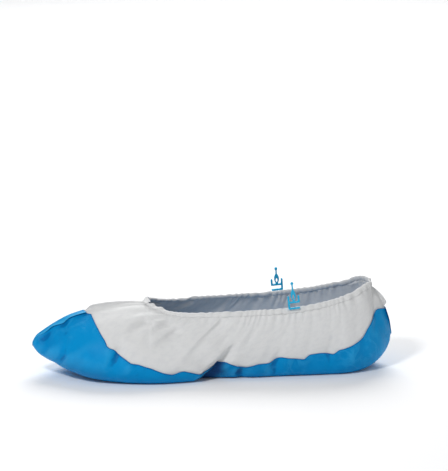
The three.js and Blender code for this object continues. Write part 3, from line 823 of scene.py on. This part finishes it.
class Recipe(Nodes):
    """A Geometry Nodes tree under construction, with named inputs for its sizes."""

    KINDS = {float: "NodeSocketFloat", int: "NodeSocketInt", bpy.types.Material: "NodeSocketMaterial"}

    def __init__(self, name, **sizes):
        super().__init__(bpy.data.node_groups.new(name, "GeometryNodeTree"))
        self.sizes = sizes
        face = self.tree.interface
        face.new_socket("Geometry", in_out="INPUT", socket_type="NodeSocketGeometry")
        face.new_socket("Geometry", in_out="OUTPUT", socket_type="NodeSocketGeometry")
        for label, value in sizes.items():
            face.new_socket(label, in_out="INPUT", socket_type=self.KINDS[type(value)])
        self.start = self.tree.nodes.new("NodeGroupInput")
        self.end = self.tree.nodes.new("NodeGroupOutput")

    def given(self, name):
        return Wire(self, self.start.outputs[name])

    def attribute(self, name, kind="FLOAT_VECTOR"):
        return self.add("GeometryNodeInputNamedAttribute", {"data_type": kind}, {"Name": name})

    def vector(self, operation, *values):
        return self.add("ShaderNodeVectorMath", {"operation": operation}, dict(enumerate(values)))

    def scaled(self, vector, factor):
        return self.add("ShaderNodeVectorMath", {"operation": "SCALE"}, {0: vector, "Scale": factor})

    def made(self, name, mesh):
        """Runs the tree on a mesh and gives the result back as a plain mesh."""

        def follow(source):
            run = source.modifiers.new("recipe", "NODES")
            run.node_group = self.tree
            for item in self.tree.interface.items_tree:
                if item.in_out == "INPUT" and item.name in self.sizes:
                    run[item.identifier] = self.sizes[item.name]

        return applied(name, mesh, follow)

    def finish(self, geometry):
        """Ends the tree in plain geometry with its material."""
        plain = self.add("GeometryNodeRealizeInstances", {}, {"Geometry": geometry})
        faced = self.add("GeometryNodeSetMaterial", {}, {
            "Geometry": plain, "Material": self.given("Material")})
        self.fill(self.end, {"Geometry": faced})


def path_mesh(name, points, clear, **attributes):
    """A ring of points as a mesh of edges, open for some columns beside each seam, with its attributes."""
    mesh = bpy.data.meshes.new(name)
    used = seam_distance() >= clear
    steps = np.flatnonzero(used & np.roll(used, -1))
    mesh.from_pydata(points.tolist(), np.stack([steps, (steps + 1) % RING], axis=1).tolist(), [])
    for label, values in attributes.items():
        kind, field = ("FLOAT", "value") if values.ndim == 1 else ("FLOAT_VECTOR", "vector")
        mesh.attributes.new(label, kind, "POINT").data.foreach_set(field, np.ravel(values))
    return mesh


def casing_recipe(sizes):
    """Sweeps a flat tube round a path that holds its directions up and out and the depth of its gathers."""
    recipe = Recipe(
        "gathered_casing", Rings=RING, Sides=CASING_SIDES, Height=sizes.casing_height, Thickness=0.0018,
        Gather=0.0018, Ripple=0.28, Strip=2 * sizes.sheet_length, Material=nonwoven_finish())
    path = recipe.given("Geometry")
    each = recipe.given("Sides") + 1
    grid = recipe.add("GeometryNodeMeshGrid", {}, {
        "Vertices X": recipe.given("Rings") + 1, "Vertices Y": each})
    index = recipe.add("GeometryNodeInputIndex")
    ring = recipe.math("FLOOR", index / each)
    side = index - ring * each
    ring = recipe.math("MODULO", ring, recipe.given("Rings"))

    def along(value, kind="FLOAT_VECTOR"):
        return recipe.add("GeometryNodeSampleIndex", {"data_type": kind}, {
            "Geometry": path, "Value": value, "Index": ring})

    gather = along(recipe.attribute("gather", "FLOAT"), "FLOAT")
    turn = (side + 0.5) / recipe.given("Sides") * math.tau
    ripple = 1 + (gather - 0.5) * recipe.given("Ripple")
    tall = recipe.math("COSINE", turn) * recipe.given("Height") / 2 * ripple
    thick = recipe.math("SINE", turn) * (recipe.given("Thickness") + gather * recipe.given("Gather")) / 2
    place = along(recipe.add("GeometryNodeInputPosition"))
    place = recipe.vector("ADD", place, recipe.scaled(along(recipe.attribute("up")), tall))
    place = recipe.vector("ADD", place, recipe.scaled(along(recipe.attribute("out")), thick))
    swept = recipe.add("GeometryNodeSetPosition", {}, {"Geometry": grid, "Position": place})
    spread = recipe.add("ShaderNodeCombineXYZ", {}, {
        "X": recipe.given("Strip"), "Y": recipe.given("Height") * 2})
    sheet = recipe.vector("MULTIPLY", grid.output("UV Map"), spread)
    marked = recipe.add("GeometryNodeStoreNamedAttribute", {"data_type": "FLOAT2", "domain": "CORNER"}, {
        "Geometry": swept, "Name": "sheet", "Value": sheet})
    closed = recipe.add("GeometryNodeMergeByDistance", {}, {"Geometry": marked, "Distance": MERGE})
    recipe.finish(recipe.add("GeometryNodeFlipFaces", {}, {"Mesh": closed}))
    return recipe


def weld_recipe(sizes):
    """Sets flat weld points along paths that hold the direction out of the film."""
    recipe = Recipe(
        "weld_points", Pitch=sizes.weld_pitch, Length=0.0014, Width=0.0007, Height=0.0003,
        Material=film_finish())
    line = recipe.add("GeometryNodeMeshToCurve", {}, {"Mesh": recipe.given("Geometry")})
    spaced = recipe.add("GeometryNodeResampleCurve", {"mode": "LENGTH"}, {
        "Curve": line, "Length": recipe.given("Pitch")})
    lens = recipe.add("GeometryNodeMeshUVSphere", {}, {"Segments": 8, "Rings": 4, "Radius": 0.5})
    stand = recipe.add("FunctionNodeAlignRotationToVector", {"axis": "Z"}, {
        "Vector": recipe.attribute("out")})
    tangent = recipe.add("GeometryNodeInputTangent")
    aimed = recipe.add("FunctionNodeAlignRotationToVector", {"axis": "X", "pivot_axis": "Z"}, {
        "Rotation": stand, "Vector": tangent})
    size = recipe.add("ShaderNodeCombineXYZ", {}, {
        "X": recipe.given("Length"), "Y": recipe.given("Width"), "Z": recipe.given("Height")})
    recipe.finish(recipe.add("GeometryNodeInstanceOnPoints", {}, {
        "Points": spaced, "Instance": lens, "Rotation": aimed, "Scale": size}))
    return recipe


@functools.cache
def film_finish():
    """Satin film with a crackled emboss and pale stretched creases, with painted shade in its hollows, its
    deep folds and along its top edge, and painted highlight on its crests and seam fins.
    """
    colours = bpy.context.scene.shoe_cover_colours
    film = Finish("blue_film")
    place = film.place()
    sheet = film.sheet()
    emboss = film.step(film.cells(sheet, scale=620), 0.02, 0.16)
    grain = film.noise(sheet, scale=1500)
    cloud = film.noise(place, scale=34, detail=3, rough=0.55)
    wrinkle = abs(film.noise(place, scale=46, detail=4, rough=0.55, distortion=0.9) * 2 - 1)
    patch = film.step(film.noise(place, scale=20), 0.48, 0.66)
    line = (1 - film.step(wrinkle, 0.0, 0.16)) * patch
    layers = (
        (film.step(cloud, 0.42, 0.68) * 0.6, colours.film_deep),
        # Painted shade in the hollows of the creases.
        (film.step(film.mark("hollow"), 0.1, 0.9) * 0.6, colours.film_crease_and_edge_shade),
        # Crests: partly stress whitening, partly painted highlight; the random wrinkle lines are stress
        # whitening.
        (film.step(film.mark("crest"), 0.2, 0.95) * 0.3 + line * 0.28, colours.film_stretch_and_highlight),
        # Seam fins: partly weld whitening, partly painted highlight on their lit tops.
        (film.step(film.mark("weld"), 0.1, 0.9) * 0.8, colours.film_stretch_and_highlight),
        # Painted shade in the deep dents of the film.
        (film.step(film.mark("tuck"), 0.25, 0.8) * 0.92, colours.film_tuck_shade),
        # Painted shade: a dark line along the film's top edge, where it meets the cloth.
        (film.step(film.mark("hem"), 0.3, 0.85) * 0.7, colours.film_crease_and_edge_shade),
    )
    base = colours.film
    for share, colour in layers:
        base = film.blend(share, base, colour)
    rough = 0.37 + cloud * 0.1 + line * 0.1 - emboss * 0.05
    dimples = film.noise(place, scale=70, detail=3)
    soft = film.bump(dimples + line * 0.6, distance=0.0006, strength=0.5)
    normal = film.bump(emboss + grain * 0.5, distance=0.00012, strength=0.35, below=soft)
    return film.surface(Base_Color=base, Roughness=rough, Normal=normal, IOR=1.5, Specular_IOR_Level=0.06)


@functools.cache
def nonwoven_finish():
    """Spunbond nonwoven: bond points in staggered rows, fibres, and thin and thick patches."""
    colours = bpy.context.scene.shoe_cover_colours
    cloth = Finish("white_nonwoven")
    place = cloth.place()
    sheet = cloth.sheet()
    across, up, _ = cloth.parts(sheet)
    row_pitch = 0.0011
    bond_pitch = 0.0017
    row = up / row_pitch
    stagger = cloth.math("MODULO", cloth.math("FLOOR", row), 2) * 0.5
    column = across / bond_pitch + stagger
    a = cloth.math("FRACT", column) - 0.5
    b = cloth.math("FRACT", row) - 0.5
    bond = 1 - cloth.step(a * a * 1.3 + b * b * 0.8, 0.03, 0.11)
    one_way, other_way = (
        cloth.noise(cloth.stretched(sheet, angle, scale), scale=1, detail=3, rough=0.6)
        for angle, scale in ((0.5, (900, 4200, 1)), (-0.7, (4200, 900, 1))))
    fibre = one_way + other_way
    thin = cloth.step(cloth.noise(sheet, scale=170, detail=3, rough=0.6), 0.4, 0.7)
    base = cloth.blend(thin * 0.5 + bond * 0.22, colours.cloth, colours.cloth_thin)
    rumple = cloth.noise(place, scale=60, rough=0.45)
    soft = cloth.bump(rumple, distance=0.0006, strength=0.22)
    normal = cloth.bump(fibre * 0.4 - bond * 0.8, distance=0.00012, strength=0.45, below=soft)
    rough = 0.82 - bond * 0.16 + thin * 0.06
    return cloth.surface(
        Base_Color=base, Roughness=rough, Normal=normal, Sheen_Weight=0.12, Sheen_Roughness=0.5,
        Specular_IOR_Level=0.3, Subsurface_Weight=0.25, Subsurface_Radius=(1, 1, 1), Subsurface_Scale=0.001)


@functools.cache
def clip_finish():
    """Moulded plastic, a little waxy, with fine scuffs."""
    colours = bpy.context.scene.shoe_cover_colours
    clip = Finish("teal_plastic")
    place = clip.place()
    flow = clip.noise(place, scale=160, detail=3)
    scuff = clip.noise(place, scale=1800, rough=0.6)
    deep = tuple(0.8 * c for c in colours.clip)
    base = clip.blend(flow * 0.5, colours.clip, deep)
    rough = 0.3 + scuff * 0.16
    normal = clip.bump(scuff, distance=0.00005, strength=0.3)
    return clip.surface(Base_Color=base, Roughness=rough, Normal=normal, IOR=1.49)


@functools.cache
def floor_finish():
    """Seamless pale floor."""
    colours = bpy.context.scene.shoe_cover_colours
    floor = Finish("pale_floor")
    shade = floor.noise(floor.place(), scale=3)
    base = floor.blend(shade * 0.1, colours.floor, tuple(0.98 * c for c in colours.floor))
    return floor.surface(Base_Color=base, Roughness=0.9, Specular_IOR_Level=0.1)


def seam_direction(points, normals, column, stand):
    """Where a welded seam points at each row: turned up by an angle from the near side of the cloth."""
    near = points[:, SEAM_SIGHT if column == 0 else COLUMNS - SEAM_SIGHT]
    across = unit(near - points[:, column])
    return unit(across * math.cos(stand) + normals[:, column] * math.sin(stand))


def raise_seams(sides, points, normals, height, stand):
    """Folds the outer face of the two sides out along the welded seams at their ends."""
    for part, side in enumerate(sides):
        for end, beside in ((0, 1), (-1, -2)):
            seam = COLUMNS if (part == 0) == (end == -1) else 0
            lift = seam_direction(points, normals, seam, stand) * height[:, None]
            side[:, end] += lift
            side[:, beside] += lift * SEAM_FOLD


def film_face(points, normals):
    """Outer face of the film, which flares a little towards its welded edge."""
    flare = HEM_FLARE * smoothstep(np.linspace(0, 1, FILM_ROWS + 1), HEM_FLARE_START, 1)
    return points + normals * flare[:, None, None]


def sheet_uv(girth, length):
    """Flat place of each grid point in metres: along the sheet and up it."""
    along = np.linspace(0, length, girth.shape[1])
    return np.stack([np.broadcast_to(along, girth.shape), girth], axis=2)


class SHOECOVER_OT_film(Operator):
    """Build the blue film that wraps the sole, toe and heel"""

    bl_idname = "shoe_cover.film"
    bl_label = "Film"

    def execute(self, context):
        sizes = context.scene.shoe_cover_sizes
        points, normals, girth, marks = (part[:FILM_ROWS + 1] for part in draped_cloth())
        outer = film_face(points, normals)
        inner = outer - normals * sizes.film_wall
        height = sizes.seam_height * grown(FILM_SEAM["low"], smoothstep(girth[:, 0], *FILM_SEAM["girth"]))
        outer, inner, girth, marks = (with_seams(grid) for grid in (outer, inner, girth[..., None], marks))
        raise_seams(outer, points, normals, height, FILM_SEAM["stand"])
        # The seam columns are marked for pale blue: partly weld whitening, partly painted highlight.
        for side in marks:
            side[:, [0, 1, -2, -1], MARKS.index("weld")] = 1
        outer, inner, girth, marks = (
            np.concatenate([near, far[:, 1:]], axis=1) for near, far in (outer, inner, girth, marks))
        uv = sheet_uv(girth[..., 0], 2 * sizes.sheet_length)
        mesh = applied("film", shell("film", outer, inner, uv, marks, True), subdivide)
        piece = finished("film", mesh, film_finish())
        placed(piece, "film", "sole_cover")
        return {"FINISHED"}


class SHOECOVER_OT_panels(Operator):
    """Build the two white panels of the upper"""

    bl_idname = "shoe_cover.panels"
    bl_label = "Panels"

    def execute(self, context):
        sizes = context.scene.shoe_cover_sizes
        first = round(FILM_ROWS * LAP_GIRTH / FILM_GIRTH)
        points, normals, girth, marks = (part[first:] for part in draped_cloth())
        outer = points - normals * (sizes.film_wall + sizes.lap_gap)
        inner = outer - normals * sizes.cloth_wall
        rise = np.arange(len(points)) - (FILM_ROWS - first)
        height = sizes.seam_height * CLOTH_SEAM["share"] * smoothstep(rise, *CLOTH_SEAM["start"])
        height = height * (1 - CLOTH_SEAM["fade"] * smoothstep(rise, *CLOTH_SEAM["end"]))
        grids = [with_seams(grid) for grid in (outer, inner, girth[..., None], marks)]
        raise_seams(grids[0], points, normals, height, CLOTH_SEAM["stand"])
        for side, outer, inner, girth, marks in zip(SIDES, *grids):
            crossed = (outer[..., 1] * SIDES[side] < PANEL_CLEAR) & (rise[:, None] < 1)
            outer[..., 1][crossed] = SIDES[side] * PANEL_CLEAR
            name = "panel_" + side
            uv = sheet_uv(girth[..., 0], sizes.sheet_length)
            mesh = applied(name, shell(name, outer, inner, uv, marks, False), subdivide)
            piece = finished(name, mesh, nonwoven_finish())
            placed(piece, "nonwoven", "upper_" + side)
        return {"FINISHED"}


class SHOECOVER_OT_casing(Operator):
    """Build the gathered casing of the elastic round the opening"""

    bl_idname = "shoe_cover.casing"
    bl_label = "Casing"

    def execute(self, context):
        sizes = context.scene.shoe_cover_sizes
        points, normals, _, _ = draped_cloth()
        up = unit(evened(points[-1] - points[-4]))
        out = unit(evened(normals[-1]))
        inset = sizes.film_wall + sizes.lap_gap + sizes.cloth_wall / 2
        rise = sizes.casing_height / 2 - CASING_LAP
        middle = points[-1] - normals[-1] * inset + out * CASING_SWELL + up * rise
        gather = np.abs(np.sin(math.pi * gather_count(points / MM)))
        path = path_mesh("casing", evened(middle, 2), 0, up=up, out=out, gather=gather)
        mesh = applied("casing", casing_recipe(sizes).made("casing", path), subdivide)
        placed(finished("casing", mesh, nonwoven_finish()), "casing", "rim_band")
        return {"FINISHED"}


class SHOECOVER_OT_welds(Operator):
    """Build the rows of weld points along the film's edge"""

    bl_idname = "shoe_cover.welds"
    bl_label = "Weld points"

    def execute(self, context):
        sizes = context.scene.shoe_cover_sizes
        points, normals, _, marks = (part[:FILM_ROWS + 1] for part in draped_cloth())
        row = FILM_ROWS - 1
        tuck = marks[row, :, MARKS.index("tuck")]
        line = film_face(points, normals)[row]
        path = path_mesh("weld_points", line, WELD_CLEAR, out=normals[row], tuck=tuck)
        mesh = weld_recipe(sizes).made("weld_points", path)
        placed(finished("weld_points", mesh, film_finish()), "film")
        return {"FINISHED"}


def ease_edges(source):
    remesh = source.modifiers.new("fine", "REMESH")
    remesh.mode = "VOXEL"
    remesh.voxel_size = CLIP_VOXEL
    ease = source.modifiers.new("ease", "SMOOTH")
    ease.factor = CLIP_EASE["factor"]
    ease.iterations = CLIP_EASE["iterations"]


class SHOECOVER_OT_clips(Operator):
    """Round the edges of the two moulded clips"""

    bl_idname = "shoe_cover.clips"
    bl_label = "Clips"

    def execute(self, context):
        for side in SIDES:
            node = "clip_" + side
            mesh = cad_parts[node].data.copy()
            body = bmesh.new()
            body.from_mesh(mesh)
            bmesh.ops.remove_doubles(body, verts=body.verts, dist=MERGE)
            body.to_mesh(mesh)
            body.free()
            piece = finished("moulded_" + node, applied(node, mesh, ease_edges), clip_finish())
            placed(piece, "clip", node)
        return {"FINISHED"}


def add_camera():
    """Camera at the picture's angle, with the tip of the toe at its place in the picture."""
    level = math.cos(ELEVATION)
    back = Vector((math.sin(AZIMUTH) * level, -math.cos(AZIMUTH) * level, math.sin(ELEVATION)))
    right = Vector((math.cos(AZIMUTH), math.sin(AZIMUTH), 0))
    up = back.cross(right)
    aim = TOE_TIP + right * (PICTURE[0] / 2 - TOE_TIP_PIXEL[0]) * PIXEL
    aim += up * (TOE_TIP_PIXEL[1] - PICTURE[1] / 2) * PIXEL
    aim -= back * (aim.dot(back))
    camera = bpy.data.cameras.new("camera")
    camera.sensor_width = CAMERA_SENSOR
    camera.lens = CAMERA_SENSOR * CAMERA_DISTANCE / (max(PICTURE) * PIXEL)
    camera.clip_end = CAMERA_END
    view = linked("camera", camera)
    view.location = aim + back * CAMERA_DISTANCE
    view.rotation_euler = (-back).to_track_quat("-Z", "Y").to_euler()
    return view


class SHOECOVER_OT_stage(Operator):
    """Set the floor, the lights and the camera"""

    bl_idname = "shoe_cover.stage"
    bl_label = "Stage"

    def execute(self, context):
        mesh = bpy.data.meshes.new("floor")
        corners = [(x * FLOOR_HALF, y * FLOOR_HALF, 0) for x, y in ((-1, -1), (1, -1), (1, 1), (-1, 1))]
        mesh.from_pydata(corners, [], [(0, 1, 2, 3)])
        mesh.materials.append(floor_finish())
        linked("floor", mesh)
        world = context.scene.world or bpy.data.worlds.new("studio")
        context.scene.world = world
        world.use_nodes = True
        for socket, value in SKY.items():
            world.node_tree.nodes["Background"].inputs[socket].default_value = value
        for name, place, size, power in LAMPS:
            light = bpy.data.lights.new(name, "AREA")
            light.shape = "DISK"
            light.size = size
            light.energy = power
            lamp = linked(name, light)
            lamp.location = place
            lamp.rotation_euler = (LAMP_AIM - lamp.location).to_track_quat("-Z", "Y").to_euler()
        context.scene.camera = add_camera()
        context.scene.view_settings.view_transform = "Standard"
        return {"FINISHED"}


class SHOECOVER_PT_pieces(Panel):
    """Lists the pieces of the cover"""

    bl_idname = "SHOECOVER_PT_pieces"
    bl_label = "Shoe Cover"
    bl_space_type = "VIEW_3D"
    bl_region_type = "UI"
    bl_category = "Shoe Cover"

    def draw(self, context):
        for operator in OPERATORS:
            self.layout.operator(operator.bl_idname)
        for group in (context.scene.shoe_cover_sizes, context.scene.shoe_cover_colours):
            for name in group.__annotations__:
                self.layout.prop(group, name)


OPERATORS = (
    SHOECOVER_OT_stage,
    SHOECOVER_OT_welds,
    SHOECOVER_OT_film,
    SHOECOVER_OT_casing,
    SHOECOVER_OT_panels,
    SHOECOVER_OT_clips,
)
CLASSES = (ShoeCoverSizes, ShoeCoverColours, *OPERATORS, SHOECOVER_PT_pieces)


def register():
    for cls in CLASSES:
        bpy.utils.register_class(cls)
    bpy.types.Scene.shoe_cover_sizes = PointerProperty(type=ShoeCoverSizes)
    bpy.types.Scene.shoe_cover_colours = PointerProperty(type=ShoeCoverColours)


def unregister():
    del bpy.types.Scene.shoe_cover_colours
    del bpy.types.Scene.shoe_cover_sizes
    for cls in reversed(CLASSES):
        bpy.utils.unregister_class(cls)


def main():
    register()
    for operator in OPERATORS:
        group, name = operator.bl_idname.split(".")
        getattr(getattr(bpy.ops, group), name)()


if __name__ == "__main__":
    main()
